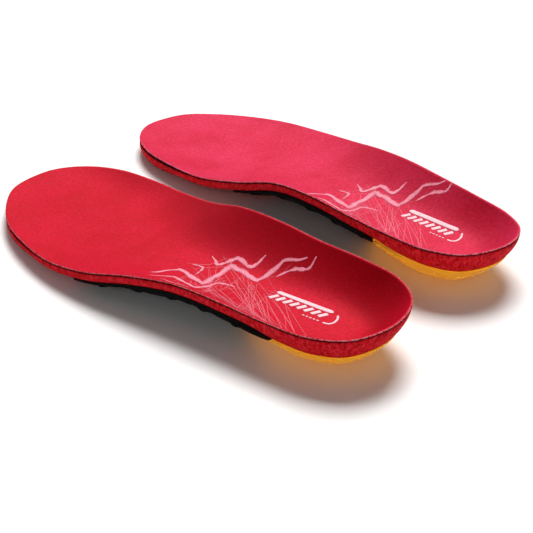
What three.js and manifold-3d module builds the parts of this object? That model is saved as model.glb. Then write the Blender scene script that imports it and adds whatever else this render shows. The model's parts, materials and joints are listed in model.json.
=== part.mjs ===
// A pair of cushioned insoles, each built up in layers:
// cloth cover, cover backing, foam bed, arch shell and heel pad.
// Millimetres, +Z up, heels toward +X, toes toward -X, left insole on the -Y side.
import * as THREE from 'three';
import { mergeVertices } from 'three/addons/utils/BufferGeometryUtils.js';
import Module from 'manifold-3d';

const wasm = await Module();
wasm.setup();

// One insole
const insoleLength = 282;
const insoleWidth = 103;
const cupHeight = 29.7; // rim of the heel cup above the floor
const seatHeight = 11; // top of the cover in the middle of the heel
const rimWidth = 2.5; // flat land round the edge of the cover

// Layers
const coverThickness = 1;
const backingThickness = 0.5;
const backingInset = 0.4; // the backing stops short of the trimmed edge
const layerGap = 0.3; // clearance between neighbouring layers
const shellLip = 0.9; // edge thickness of the shell and the heel pad

// Bend line across the ball of the foot
const flexAlong = 0.72; // part of the length, from the heel
const flexGap = 0.3;

// Ribs across the underside of the arch shell
const ribCount = 5;
const ribPitch = 20;
const ribWidth = 3;
const ribDepth = 0.8;
const firstRib = 72; // from the heel

// How the pair lies
const heelSpacing = 99;
const heelStagger = 9.9; // the right insole lies this far further toward the toes
const splayAngle = 2.5; // degrees, toes turned out

// Surface sampling
const outlinePoints = 48;
const topInsets = [0, rimWidth, 6, 11, 18];
const lowerSteps = [0.25, 0.5, 0.75];
const spineStart = 0.135 * insoleLength;
const spineEnd = 0.845 * insoleLength;

// Edge stations: part of the length, inner and outer edge (parts of the width),
// inner and outer rim height (parts of the cup height)
const edgeStations = [
  [0.028, 0.23, 0.208, 0.99, 0.93],
  [0.09, 0.34, 0.316, 1, 0.89],
  [0.18, 0.367, 0.357, 1, 0.883],
  [0.28, 0.366, 0.379, 0.99, 0.9],
  [0.38, 0.37, 0.408, 1.017, 0.883],
  [0.48, 0.381, 0.459, 0.94, 0.738],
  [0.58, 0.419, 0.515, 0.655, 0.52],
  [0.68, 0.466, 0.527, 0.462, 0.39],
  [0.78, 0.474, 0.477, 0.417, 0.355],
  [0.87, 0.446, 0.384, 0.393, 0.307],
  [0.94, 0.357, 0.248, 0.362, 0.29],
  [0.985, 0.214, 0.101, 0.334, 0.293],
];
const heelTip = [0, 0.004, 0.99];
const toeTip = [1, 0.055, 0.286];

// Profiles along the length: [part of the length, value in mm or ratio]
const seatLine = [[0.13, seatHeight], [0.36, 12], [0.5, 11], [0.6, 9.3], [0.72, 7.6], [0.85, 7]];
const groundLine = [
  [0.13, -0.4], [0.2, -0.2], [0.28, 1.4], [0.36, 3], [0.5, 2.7], [0.6, 1.5], [0.68, 0.1], [0.74, -0.3],
];
const wallReach = [[0.14, 0.8], [0.4, 0.85], [0.6, 0.8], [0.75, 0.55]];
const wallPower = [[0.14, 2.3], [0.26, 1.5], [0.36, 1.35], [0.55, 1.4], [0.72, 2]];
const sideInset = [[0.15, 5.5], [0.21, 4.5], [0.28, 2.5], [0.38, 1.5]];
const sideDrop = [
  [0, 13.2], [0.1, 12.8], [0.16, 12.3], [0.22, 9.3], [0.27, 7.7], [0.35, 6.5], [0.45, 6], [0.74, 6.3],
  [0.8, 7.8], [0.86, 8.7], [0.94, 8.8], [1, 8.4],
];
const turnInset = [[0.1, 11], [0.16, 8], [0.23, 6], [0.3, 5], [0.43, 5], [0.53, 4.5]];
const turnDrop = [
  [0.1, 20.2], [0.16, 18.2], [0.23, 15.4], [0.3, 13.2], [0.43, 12], [0.53, 9.6], [0.68, 7.4],
  [0.78, 8.2], [0.87, 9.2], [0.94, 9.3],
];
const bellyPower = [[0.1, 3.2], [0.25, 1.6], [0.5, 1.4], [0.62, 1.8], [0.75, 3.5]];
const recessDepth = [[0.1, 4], [0.3, 2.7], [0.5, 2.6], [0.6, 1.6], [0.66, 0]];

function along(profile, x) {
  const part = x / insoleLength;
  const last = profile.length - 1;
  if (part <= profile[0][0]) return profile[0][1];
  if (part >= profile[last][0]) return profile[last][1];
  const i = profile.findIndex((row) => row[0] > part);
  const [x0, v0] = profile[i - 1];
  const [x1, v1] = profile[i];
  return v0 + ((v1 - v0) * (part - x0)) / (x1 - x0);
}

// The trimmed edge as a closed curve: x from the heel, y toward the inner side, z of the rim
function edgeCurve() {
  const at = (x, y, z) => new THREE.Vector3(x * insoleLength, y * insoleWidth, z * cupHeight);
  const inner = edgeStations.map(([x, yIn, , zIn]) => at(x, yIn, zIn));
  const outer = edgeStations.map(([x, , yOut, , zOut]) => at(x, -yOut, zOut)).reverse();
  const loop = [at(...heelTip), ...inner, at(...toeTip), ...outer];
  return new THREE.CatmullRomCurve3(loop, true, 'centripetal');
}

// Pairs each edge point with a point of the spine that runs down the middle
function edgeFrames() {
  const curve = edgeCurve();
  const edge = [];
  for (let i = 0; i < outlinePoints; i += 1) edge.push(curve.getPoint(i / outlinePoints));
  const middle = (i) => edge[i].clone().add(edge[(outlinePoints - i) % outlinePoints]).multiplyScalar(0.5);
  const middles = edge.map((point, i) => middle(i));
  const inBody = middles.filter((m, i) => m.x > spineStart && m.x < spineEnd && i < outlinePoints / 2);
  const heelEnd = new THREE.Vector3(spineStart, inBody[0].y, 0);
  const toeEnd = new THREE.Vector3(spineEnd, inBody[inBody.length - 1].y, 0);
  return edge.map((point, i) => {
    let spine = new THREE.Vector3(middles[i].x, middles[i].y, 0);
    if (spine.x < spineStart) spine = heelEnd;
    if (spine.x > spineEnd) spine = toeEnd;
    const reach = Math.hypot(point.x - spine.x, point.y - spine.y);
    return { edge: point, spine, reach };
  });
}

const frames = edgeFrames();

function planPoint(frame, inset) {
  const part = inset / frame.reach;
  const x = frame.edge.x + (frame.spine.x - frame.edge.x) * part;
  const y = frame.edge.y + (frame.spine.y - frame.edge.y) * part;
  return [x, y];
}

// Top of the cover: a flat land at the rim, then a dished wall down to the seat
function coverTop(frame, inset) {
  const seat = along(seatLine, frame.spine.x);
  const reach = along(wallReach, frame.spine.x) * frame.reach;
  const part = Math.min(1, Math.max(0, (inset - rimWidth) / (reach - rimWidth)));
  return seat + (frame.edge.z - seat) * (1 - part) ** along(wallPower, frame.spine.x);
}

function belowCover(frame, inset, depth) {
  const step = 0.5;
  const near = Math.max(0, inset - step);
  const slope = (coverTop(frame, near) - coverTop(frame, inset + step)) / (inset + step - near);
  return coverTop(frame, inset) - depth * Math.hypot(1, slope);
}

function sideFoot(frame) {
  const inset = along(sideInset, frame.edge.x);
  const z = Math.max(0.3, frame.edge.z - along(sideDrop, frame.edge.x));
  return { inset, z };
}

// Outside of the underside: turned in below the side, then a shallow belly
function belly(frame, step) {
  const ground = along(groundLine, frame.spine.x);
  const turn = Math.max(0, frame.edge.z - along(turnDrop, frame.edge.x));
  const z = ground + (turn - ground) * (1 - step) ** along(bellyPower, frame.spine.x);
  return Math.max(0, z);
}

// Room left under the foam for the shell and the pad, shallower toward the sides
function recess(frame, step) {
  return along(recessDepth, bellyX(frame, step)) * (0.6 + 0.4 * Math.min(1, 2 * step));
}

function bellyInset(frame, step) {
  const turn = along(turnInset, frame.edge.x);
  return turn + (frame.reach - turn) * step;
}

const bellyX = (frame, step) => planPoint(frame, bellyInset(frame, step))[0];
const toPoint = (frame, inset, z) => [...planPoint(frame, inset), z];

// Closed solid between an upper and a lower grid of rings that share their end rings' count
function solidFromRings(upper, lower) {
  const triangles = [];
  const count = outlinePoints;
  // both faces split their cells along the same diagonal, so stacked layers stay parallel
  const strip = (ringA, ringB, facesUp) => {
    for (let i = 0; i < count; i += 1) {
      const j = (i + 1) % count;
      const cell = [ringA[i], ringA[j], ringB[j], ringA[i], ringB[j], ringB[i]];
      triangles.push(...(facesUp ? cell : cell.reverse()));
    }
  };
  for (let k = 0; k < upper.length - 1; k += 1) strip(upper[k], upper[k + 1], true);
  for (let k = 0; k < lower.length - 1; k += 1) strip(lower[k], lower[k + 1], false);
  strip(lower[0], upper[0], true);
  const geometry = new THREE.BufferGeometry();
  geometry.setAttribute('position', new THREE.Float32BufferAttribute(triangles.flat(), 3));
  return solidFromGeometry(geometry);
}

function solidFromGeometry(source) {
  const bare = new THREE.BufferGeometry();
  bare.setAttribute('position', source.getAttribute('position'));
  if (source.index) bare.setIndex(source.index);
  const merged = mergeVertices(bare, 1e-4);
  const index = Array.from(merged.index.array);
  const kept = [];
  for (let i = 0; i < index.length; i += 3) {
    const [a, b, c] = index.slice(i, i + 3);
    if (a !== b && b !== c && c !== a) kept.push(a, b, c);
  }
  const points = merged.getAttribute('position').array;
  if (signedVolume(points, kept) < 0) kept.reverse();
  return new wasm.Manifold(new wasm.Mesh({
    numProp: 3,
    vertProperties: new Float32Array(points),
    triVerts: new Uint32Array(kept),
  }));
}

function signedVolume(points, index) {
  const corner = (i) => new THREE.Vector3().fromArray(points, 3 * i);
  let volume = 0;
  for (let i = 0; i < index.length; i += 3) {
    const [a, b, c] = [corner(index[i]), corner(index[i + 1]), corner(index[i + 2])];
    volume += a.dot(b.cross(c)) / 6;
  }
  return volume;
}

function upperRings(heightAt, insets) {
  const rings = insets.map((inset) => frames.map((f) => toPoint(f, inset, heightAt(f, inset))));
  rings.push(frames.map((f) => toPoint(f, f.reach, heightAt(f, f.reach))));
  return rings;
}

function sheetLayer(depth, thickness, edgeInset) {
  const insets = [edgeInset, ...topInsets.slice(1)];
  const upper = upperRings((f, inset) => belowCover(f, inset, depth), insets);
  const lower = upperRings((f, inset) => belowCover(f, inset, depth + thickness), insets);
  return solidFromRings(upper, lower);
}

const foamDepth = coverThickness + backingThickness + 2 * layerGap;

function foamLayer() {
  const upper = upperRings((f, inset) => belowCover(f, inset, foamDepth), topInsets);
  const edgeFoot = (f) => {
    const top = f.edge.z - foamDepth;
    return top + (sideFoot(f).z - top) * 0.35;
  };
  const steps = [0, ...lowerSteps, 1];
  const underside = (f, step) => belly(f, step) + recess(f, step);
  const lower = [
    frames.map((f) => toPoint(f, 0, edgeFoot(f))),
    frames.map((f) => toPoint(f, sideFoot(f).inset, sideFoot(f).z)),
    ...steps.map((step) => frames.map((f) => toPoint(f, bellyInset(f, step), underside(f, step)))),
  ];
  return solidFromRings(upper, lower);
}

// Everything that can lie below the foam, with extra depth for ribs
function underLayer(extra) {
  const steps = [0, ...lowerSteps, 1];
  const top = (f, step) => belly(f, step) + recess(f, step) - layerGap;
  const bottom = (f, step) => Math.min(belly(f, step) - extra, top(f, step) - 0.2);
  const lip = extra > 0 ? shellLip + 0.2 : shellLip;
  const upper = [
    frames.map((f) => toPoint(f, sideFoot(f).inset, sideFoot(f).z - layerGap)),
    ...steps.map((step) => frames.map((f) => toPoint(f, bellyInset(f, step), top(f, step)))),
  ];
  const lower = [
    frames.map((f) => toPoint(f, sideFoot(f).inset, sideFoot(f).z - layerGap - lip)),
    ...steps.map((step) => frames.map((f) => toPoint(f, bellyInset(f, step), bottom(f, step)))),
  ];
  return solidFromRings(upper, lower);
}

// Upright prism over a plan outline
function prism(points) {
  const shape = new THREE.Shape(points.map(([x, y]) => new THREE.Vector2(x, y)));
  const geometry = new THREE.ExtrudeGeometry(shape, { depth: 60, bevelEnabled: false });
  geometry.translate(0, 0, -10);
  return solidFromGeometry(geometry);
}

function slab(x0, x1) {
  return prism([[x0, -80], [x1, -80], [x1, 80], [x0, 80]]);
}

// Front edge of the heel pad: round toward the toes, further back at the sides
const padReach = 88;
const padSides = [[64, 32], [46, -32]];
function padFront(clearance) {
  const [inner, outer] = padSides;
  const points = [];
  for (let i = 0; i <= 12; i += 1) {
    const part = i / 12;
    const side = inner[0] + (outer[0] - inner[0]) * part;
    const bulge = Math.sin(Math.PI * part) ** 0.8;
    const x = side + (padReach - side) * bulge + clearance;
    points.push([x, inner[1] + (outer[1] - inner[1]) * part]);
  }
  return points;
}

function padPlan() {
  return prism([[-10, -60], [-10, 60], [padSides[0][0], 60], ...padFront(0), [padSides[1][0], -60]]);
}

// Plan of the arch shell: its rear edge wraps the pad, its front edge is bowed
const shellFront = [[166, 60], [168, 38], [158, 18], [155, -4], [160, -26], [173, -46], [174, -60]];
function shellPlan() {
  const rear = padFront(layerGap);
  return prism([
    [padSides[0][0] + layerGap, 60], ...rear, [padSides[1][0] + layerGap, -60],
    ...[...shellFront].reverse(),
  ]);
}

function archShell() {
  const plan = shellPlan();
  let shell = underLayer(0).intersect(plan);
  const deep = underLayer(ribDepth).intersect(plan);
  for (let i = 0; i < ribCount; i += 1) {
    const start = firstRib + i * ribPitch;
    shell = shell.add(deep.intersect(slab(start, start + ribWidth)));
  }
  return shell;
}

const material = (color, roughness, metalness) =>
  new THREE.MeshStandardMaterial({ color, roughness, metalness });
const cloth = material(0xd41c36, 0.95, 0);
const backing = material(0x1a0a0c, 0.9, 0);
const foam = material(0x961420, 0.85, 0);
const shellPlastic = material(0x060304, 0.45, 0);
const gel = material(0xbd730f, 0.3, 0);

// A local solid has x from heel to toe; the insole's own frame has its toe toward -X
function toMesh(solid, name, look) {
  const mesh = solid.getMesh();
  const geometry = new THREE.BufferGeometry();
  const points = Array.from(mesh.vertProperties);
  for (let i = 0; i < points.length; i += 3) points[i] = -points[i];
  geometry.setAttribute('position', new THREE.Float32BufferAttribute(points, 3));
  geometry.setIndex(Array.from(mesh.triVerts).reverse());
  geometry.computeVertexNormals();
  const made = new THREE.Mesh(geometry, look);
  made.name = name;
  return made;
}

function insole(side) {
  const group = new THREE.Group();
  group.name = `${side}_insole`;
  const flexX = flexAlong * insoleLength;
  const rear = slab(-20, flexX - flexGap / 2);
  const front = slab(flexX + flexGap / 2, insoleLength + 20);
  const layers = [
    ['cover', sheetLayer(0, coverThickness, 0), cloth],
    ['backing', sheetLayer(coverThickness + layerGap, backingThickness, backingInset), backing],
    ['foam', foamLayer(), foam],
  ];
  for (const [name, solid, look] of layers) {
    group.add(toMesh(solid.intersect(rear), `${side}_${name}_rear`, look));
    group.add(toMesh(solid.intersect(front), `${side}_${name}_front`, look));
  }
  group.add(toMesh(archShell(), `${side}_arch_shell`, shellPlastic));
  group.add(toMesh(underLayer(0).intersect(padPlan()), `${side}_heel_pad`, gel));
  return group;
}

function pair() {
  const group = new THREE.Group();
  group.name = 'insole_pair';
  const splay = THREE.MathUtils.degToRad(splayAngle);
  const left = insole('left');
  left.rotation.z = splay;
  left.position.set(heelStagger, -heelSpacing / 2, 0);
  const right = insole('right');
  right.scale.y = -1;
  right.rotation.z = -splay;
  right.position.set(0, heelSpacing / 2, 0);
  group.add(left, right);
  group.updateMatrixWorld(true);
  const box = new THREE.Box3().setFromObject(group, true);
  const middle = box.getCenter(new THREE.Vector3());
  group.position.set(-middle.x, -middle.y, -box.min.z);
  return group;
}

export default pair();
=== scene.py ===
import json
import math
import random

import bmesh
import bpy
import numpy as np
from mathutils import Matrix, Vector, noise
from mathutils.bvhtree import BVHTree


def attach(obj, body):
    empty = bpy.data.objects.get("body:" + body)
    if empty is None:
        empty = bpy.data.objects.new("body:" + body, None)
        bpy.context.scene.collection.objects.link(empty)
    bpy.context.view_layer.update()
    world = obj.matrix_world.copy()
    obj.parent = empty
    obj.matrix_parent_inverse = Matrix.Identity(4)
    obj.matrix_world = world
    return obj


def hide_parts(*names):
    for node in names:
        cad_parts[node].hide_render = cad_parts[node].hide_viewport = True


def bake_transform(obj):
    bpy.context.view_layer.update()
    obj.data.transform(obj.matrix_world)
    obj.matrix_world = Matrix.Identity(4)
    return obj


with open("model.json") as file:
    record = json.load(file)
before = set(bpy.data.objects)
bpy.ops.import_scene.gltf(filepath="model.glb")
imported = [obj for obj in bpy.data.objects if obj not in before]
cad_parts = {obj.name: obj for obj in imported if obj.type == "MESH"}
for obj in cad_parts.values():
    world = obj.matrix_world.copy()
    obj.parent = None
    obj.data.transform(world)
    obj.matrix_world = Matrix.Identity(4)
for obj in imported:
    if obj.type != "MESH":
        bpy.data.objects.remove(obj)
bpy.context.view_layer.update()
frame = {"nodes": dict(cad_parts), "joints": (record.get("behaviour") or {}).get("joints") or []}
mm = 0.001
print("frame loaded:", len(frame["nodes"]), "solids")

# Profiles along one insole: (part of the length from the heel, value). Values are in mm,
# except wallReach, a share of the way to the spine, and the powers.
bed = {
    "seat": [(0.13, 11), (0.36, 12), (0.5, 11), (0.6, 9.3), (0.72, 7.6), (0.85, 7)],
    "wallReach": [(0.14, 0.8), (0.4, 0.85), (0.6, 0.8), (0.75, 0.55)],
    "wallPower": [(0.14, 2.5), (0.26, 2), (0.36, 1.9), (0.55, 1.7), (0.72, 2)],
    "rimWidth": 1.2,
    "rimRound": 0.2, "roundReach": 2,
}
underside = {
    "ground": [(0.13, -0.4), (0.2, -0.2), (0.28, 1.4), (0.36, 3), (0.5, 2.7), (0.6, 1.5), (0.68, 0.1),
               (0.74, -0.3), (1, -0.3)],
    "footInset": [(0.15, 5.5), (0.21, 4.5), (0.28, 2.5), (0.38, 1.5)],
    "footDrop": [(0, 13.2), (0.1, 12.8), (0.16, 12.3), (0.22, 9.3), (0.27, 7.7), (0.35, 6.5), (0.45, 6),
                 (0.74, 6.3), (0.8, 7.8), (0.86, 8.7), (0.94, 8.8), (1, 8.4)],
    "turnInset": [(0.1, 11), (0.16, 8), (0.23, 6), (0.3, 5), (0.43, 5), (0.53, 4.5)],
    "turnDrop": [(0.1, 20.2), (0.16, 18.2), (0.23, 15.4), (0.3, 13.2), (0.43, 12), (0.53, 9.6), (0.68, 7.4),
                 (0.78, 8.2), (0.87, 9.2), (0.94, 9.3)],
    "power": [(0.1, 3.2), (0.25, 1.6), (0.5, 1.4), (0.62, 1.8), (0.75, 3.5)],
    "recess": [(0.1, 4), (0.3, 2.7), (0.5, 2.6), (0.6, 1.6), (0.66, 0)],
    "footLow": 0.42, "floorClear": 0.04,
}
layers = {
    # the cloth is pressed thinner over this reach from its cut edge
    "cover": 1.0, "coverEdge": 0.5, "edgeReach": 2.2,
    # the backing thickens toward the toe, where the cloth stands off the foam
    "backing": [(0.68, 0.55), (0.8, 1.9), (0.93, 1.9), (1, 1.1)],
    "backingInset": [(0.68, 0.4), (0.8, 1.0)],
    "glue": 0.04,
}

# Trimmed edge: part of the length, inner and outer edge (parts of the width), rim heights (parts of the cup)
trimEdge = {
    "stations": [
        (0.028, 0.23, 0.208, 0.99, 0.93),
        (0.09, 0.34, 0.316, 1, 0.89),
        (0.18, 0.367, 0.357, 1, 0.883),
        (0.28, 0.366, 0.379, 0.99, 0.9),
        (0.38, 0.37, 0.408, 1.017, 0.883),
        (0.48, 0.381, 0.459, 0.94, 0.738),
        (0.58, 0.419, 0.515, 0.655, 0.52),
        (0.68, 0.466, 0.527, 0.462, 0.39),
        (0.78, 0.474, 0.477, 0.417, 0.355),
        (0.87, 0.446, 0.384, 0.393, 0.307),
        (0.94, 0.357, 0.248, 0.362, 0.29),
        (0.985, 0.214, 0.101, 0.334, 0.293),
    ],
    "heelTip": (0, 0.004, 0.99),
    "toeTip": (1, 0.055, 0.286),
    "width": 103,
    "cupHeight": 29.7,
    "stepsPerStation": 14,
    "spineEnds": (0.135, 0.845),
}


# a cubic from one value to the next, with a slope at each end
def cubic(t, start, end, leave, arrive):
    return ((2 * t**3 - 3 * t**2 + 1) * start + (t**3 - 2 * t**2 + t) * leave
            + (3 * t**2 - 2 * t**3) * end + (t**3 - t**2) * arrive)


# a smooth value through stations, with no overshoot between them
def ease(stations, part):
    xs, ys = np.array(stations, float).T
    gap = np.diff(xs)
    rise = np.diff(ys) / gap
    slope = np.zeros(len(xs))
    same = rise[:-1] * rise[1:] > 0
    slope[1:-1][same] = (2 * rise[:-1] * rise[1:])[same] / (rise[:-1] + rise[1:])[same]
    part = np.clip(part, xs[0], xs[-1])
    i = np.clip(np.searchsorted(xs, part) - 1, 0, len(gap) - 1)
    t, h = (part - xs[i]) / gap[i], gap[i]
    return cubic(t, ys[i], ys[i + 1], h * slope[i], h * slope[i + 1])


# a closed curve through points, with even steps between each two
def closedCurve(points, steps):
    points = np.array(points, float)
    count, made = len(points), []
    t = (np.arange(steps) / steps)[:, None]
    for i in range(count):
        a, b, c, d = (points[(i + k) % count] for k in (-1, 0, 1, 2))
        ab, bc, cd = (math.sqrt(np.linalg.norm(q - p)) for p, q in ((a, b), (b, c), (c, d)))
        leave = ((b - a) / ab - (c - a) / (ab + bc) + (c - b) / bc) * bc
        arrive = ((c - b) / bc - (d - b) / (bc + cd) + (d - c) / cd) * bc
        made.append(cubic(t, b, c, leave, arrive))
    return np.concatenate(made)


# an open curve through points, resampled every so many mm
def openCurve(points, every, steps=24):
    points = np.array(points, float)
    padded = np.concatenate([[2 * points[0] - points[1]], points, [2 * points[-1] - points[-2]]])
    t = (np.arange(steps) / steps)[:, None]
    made = []
    for a, b, c, d in zip(padded, padded[1:], padded[2:], padded[3:]):
        made.append(0.5 * (2 * b + (c - a) * t + (2 * a - 5 * b + 4 * c - d) * t**2
                           + (3 * b - a - 3 * c + d) * t**3))
    made = np.concatenate(made + [points[-1:]])
    run = np.concatenate([[0], np.cumsum(np.linalg.norm(np.diff(made, axis=0), axis=1))])
    spots = np.linspace(0, run[-1], max(2, int(run[-1] / every)))
    return np.stack([np.interp(spots, run, made[:, k]) for k in range(made.shape[1])], 1)


# Where each insole lies: its own s runs from heel to toe, m toward the inner side
def insolePlace(side):
    flex = next(j for j in frame["joints"] if j["name"] == side + "_forefoot_flex")
    across = Vector(flex["axis"]).normalized()
    toward = Vector((-across.y, across.x, 0))
    covers = [frame["nodes"][side + part].data for part in ("_cover_rear", "_cover_front")]
    corners = [v.co for cover in covers for v in cover.vertices]
    pivot = Vector((flex["pos_m"][0], flex["pos_m"][1], 0))
    behind = max(-(c - pivot).dot(toward) for c in corners)
    ahead = max((c - pivot).dot(toward) for c in corners)
    inner = across if side == "left" else -across
    return {"side": side, "heel": pivot - toward * behind, "toward": toward, "inner": inner,
            "length": (behind + ahead) / mm, "flex": behind / mm, "printSign": 1 if side == "left" else -1}


places = {side: insolePlace(side) for side in ("left", "right")}
length = places["left"]["length"]


def toWorld(place, points):
    points = np.asarray(points, float) * mm
    return (np.array(place["heel"]) + points[:, :1] * np.array(place["toward"])
            + points[:, 1:2] * np.array(place["inner"]) + points[:, 2:] * np.array([0, 0, 1]))


def edgeLoop():
    width, cup = trimEdge["width"], trimEdge["cupHeight"]
    rows = trimEdge["stations"]
    loop = [trimEdge["heelTip"]] + [(x, inner, z) for x, inner, _, z, _ in rows]
    loop += [trimEdge["toeTip"]] + [(x, -outer, z) for x, _, outer, _, z in reversed(rows)]
    return closedCurve(np.array(loop) * [length, width, cup], trimEdge["stepsPerStation"])


edge = edgeLoop()
count = len(edge)
middle = (edge + edge[(-np.arange(count)) % count]) / 2
spineLow, spineHigh = (part * length for part in trimEdge["spineEnds"])
body = (middle[:, 0] > spineLow) & (middle[:, 0] < spineHigh)
spine = middle[:, :2].copy()
first, last = np.flatnonzero(body[: count // 2])[[0, -1]]
spine[~body & (middle[:, 0] < 0.5 * length)] = middle[first, :2]
spine[~body & (middle[:, 0] > 0.5 * length)] = middle[last, :2]
reach = np.linalg.norm(edge[:, :2] - spine, axis=1)
edgePart, spinePart = edge[:, 0] / length, spine[:, 0] / length
edgeSteps = np.linalg.norm(np.diff(edge[:, :2], axis=0, append=edge[:1, :2]), axis=1)
arcRun = np.concatenate([[0], np.cumsum(edgeSteps)])
outward = (edge[:, :2] - spine) / reach[:, None]


def plan(inset):
    return edge[:, :2] + (spine - edge[:, :2]) * (inset / reach)[:, None]


def ring(inset, z):
    return np.column_stack([plan(inset * np.ones(count)), z * np.ones(count)])


def coverTop(inset):
    seat = ease(bed["seat"], spinePart)
    wall = ease(bed["wallReach"], spinePart) * reach
    part = np.clip((inset - bed["rimWidth"]) / (wall - bed["rimWidth"]), 0, 1)
    z = seat + (edge[:, 2] - seat) * (1 - part) ** ease(bed["wallPower"], spinePart)
    return z - bed["rimRound"] * np.clip(1 - inset / bed["roundReach"], 0, 1) ** 2


def coverDepth(inset):
    part = np.clip(inset / layers["edgeReach"], 0, 1)
    return layers["coverEdge"] + (layers["cover"] - layers["coverEdge"]) * part


# the height that lies a given depth under the top of the cover, square to its slope
def below(inset, depth, step=0.4):
    near = np.maximum(0, inset - step)
    slope = (coverTop(near) - coverTop(inset + step)) / (inset + step - near)
    return coverTop(inset) - depth * np.hypot(1, slope)


def backingTop(inset):
    return coverDepth(inset) + layers["glue"]


backingDepth = ease(layers["backing"], edgePart)
footInset = ease(underside["footInset"], edgePart)
footZ = np.maximum(underside["footLow"], edge[:, 2] - ease(underside["footDrop"], edgePart))
turnInset = ease(underside["turnInset"], edgePart)


def belly(step):
    ground = ease(underside["ground"], spinePart)
    turn = np.maximum(0, edge[:, 2] - ease(underside["turnDrop"], edgePart))
    curve = (1 - step) ** ease(underside["power"], spinePart)
    return np.maximum(underside["floorClear"], ground + (turn - ground) * curve)


def bellyInset(step):
    return turnInset + (reach - turnInset) * step


def recess(step):
    at = plan(bellyInset(step))[:, 0] / length
    return ease(underside["recess"], at) * (0.6 + 0.4 * min(1, 2 * step))


# how far a line set in from the edge lies to one side at each s
def sideLine(sign, s, inset):
    half = slice(1, count // 2) if sign > 0 else slice(count // 2 + 1, None)
    at = ring(inset, 0)[half]
    order = np.argsort(at[:, 0])
    return np.interp(s, at[order, 0], at[order, 1])


# quads from each ring to the next
def ringFaces(turns, rows):
    i = np.arange(turns)
    j = (i + 1) % turns
    return np.concatenate([np.stack([a + i, a + j, a + turns + j, a + turns + i], 1)
                           for a in range(0, turns * (rows - 1), turns)])


def addPattern(mesh, name, corners):
    mesh.uv_layers.new(name=name).data.foreach_set("uv", np.asarray(corners).ravel())


# Skins a run of rings. "plan" lays the pattern flat, "rim" counts from the trimmed edge,
# and "wrap" runs round the edge and down over it.
def loft(name, place, rings):
    verts, faces, spans = np.concatenate(rings), ringFaces(count, len(rings)), len(rings) - 1
    mesh = bpy.data.meshes.new(name)
    mesh.from_pydata(toWorld(place, verts).tolist(), [], faces.tolist())
    addPattern(mesh, "plan", verts[faces.ravel(), :2] * [1, place["printSign"]] * mm)
    inset = np.linalg.norm(verts[:, :2] - np.tile(edge[:, :2], (len(rings), 1)), axis=1)
    addPattern(mesh, "rim", np.column_stack([inset, verts[:, 0]])[faces.ravel()] * mm)
    steps = [np.linalg.norm(b - a, axis=1) for a, b in zip(rings, rings[1:])]
    down = np.cumsum([np.zeros(count)] + steps, axis=0)
    i = np.arange(count)
    j = (i + 1) % count
    runs = np.concatenate([np.stack([arcRun[i], arcRun[i + 1], arcRun[i + 1], arcRun[i]], 1)] * spans)
    drops = np.concatenate([np.stack([a[i], a[j], b[j], b[i]], 1) for a, b in zip(down, down[1:])])
    addPattern(mesh, "wrap", np.stack([runs, drops], 2) * mm)
    return finishMesh(name, mesh)


def finishMesh(name, mesh, weld=1e-6):
    work = bmesh.new()
    work.from_mesh(mesh)
    bmesh.ops.remove_doubles(work, verts=work.verts, dist=weld)
    bmesh.ops.recalc_face_normals(work, faces=work.faces)
    work.to_mesh(mesh)
    work.free()
    piece = bpy.data.objects.new(name, mesh)
    bpy.context.scene.collection.objects.link(piece)
    mesh.polygons.foreach_set("use_smooth", [True] * len(mesh.polygons))
    mesh.update()
    return piece


def heightMap(rings):
    return BVHTree.FromPolygons(np.concatenate(rings).tolist(), ringFaces(count, len(rings)).tolist())


probe = {"tries": 8, "step": 0.06, "from": 80}


# the height straight below, a little further in where the edge is missed, or else the nearest point
def heightAt(surface, s, m, fallback):
    for k in range(probe["tries"]):
        above = Vector((s, m - math.copysign(probe["step"] * k, m), probe["from"]))
        hit = surface.ray_cast(above, Vector((0, 0, -1)))[0]
        if hit:
            return hit.z
    return surface.find_nearest(Vector((s, m, fallback)))[0].z


cloth = {
    "insets": [0.3, 0.6, 1, 1.5, 2, 2.5, 3.1, 3.8, 4.6, 5.5, 6.5, 7.5, 8.7, 10, 11.5, 13, 15, 17, 19, 21.5,
               24, 27, 30],
    "innerSteps": 5,
    "edgeRound": [(0.0, 0.2), (0.04, 0.07), (0.13, 0.0)],
    # walls that face this way get painted shade: the cloth colour is darkened there
    "paintedShadeFacing": (-0.5, -0.86, 0),
    # soft creases: start and end (s, m), depth and half width in mm
    "creases": {
        "left": [((168, -20), (176, 20), 0.3, 3.2), ((150, -30), (158, -4), 0.35, 2.6),
                 ((196, -34), (204, 6), 0.22, 3.6)],
        "right": [((172, -16), (166, 24), 0.3, 3.4), ((150, -26), (156, 6), 0.25, 2.8),
                  ((214, -20), (206, 22), 0.2, 4)],
    },
    "creaseBow": 1.6, "creaseFade": 1.6,
}


def creaseDepth(side, points):
    total = np.zeros(len(points))
    for start, end, depth, half in cloth["creases"][side]:
        a, b = np.array(start, float), np.array(end, float)
        t = ((points - a) @ (b - a)) / ((b - a) @ (b - a))
        within = np.clip(t, 0, 1)[:, None]
        bow = np.array([cloth["creaseBow"], 0]) * np.sin(np.pi * within)
        away = np.linalg.norm(points - a - within * (b - a) - bow, axis=1)
        fade = np.clip(1 - np.abs(t - 0.5) * cloth["creaseFade"], 0, 1)
        total += depth * fade * np.exp(-(away / half) ** 2)
    return total


# insets of the rings that cover the plan, from just past start to the spine
def allInsets(start=0):
    inner = cloth["insets"][-1]
    rows = [x * np.ones(count) for x in cloth["insets"] if x > start]
    rows += [inner + (reach - inner) * k / cloth["innerSteps"] for k in range(1, cloth["innerSteps"] + 1)]
    return rows


def coverTopRings(side):
    rings = []
    for inset in reversed(allInsets()):
        row = ring(inset, coverTop(inset))
        row[:, 2] -= creaseDepth(side, row[:, :2])
        rings.append(row)
    for inset, drop in reversed(cloth["edgeRound"]):
        rings.append(ring(inset, coverTop(inset) - drop))
    return rings


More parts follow.
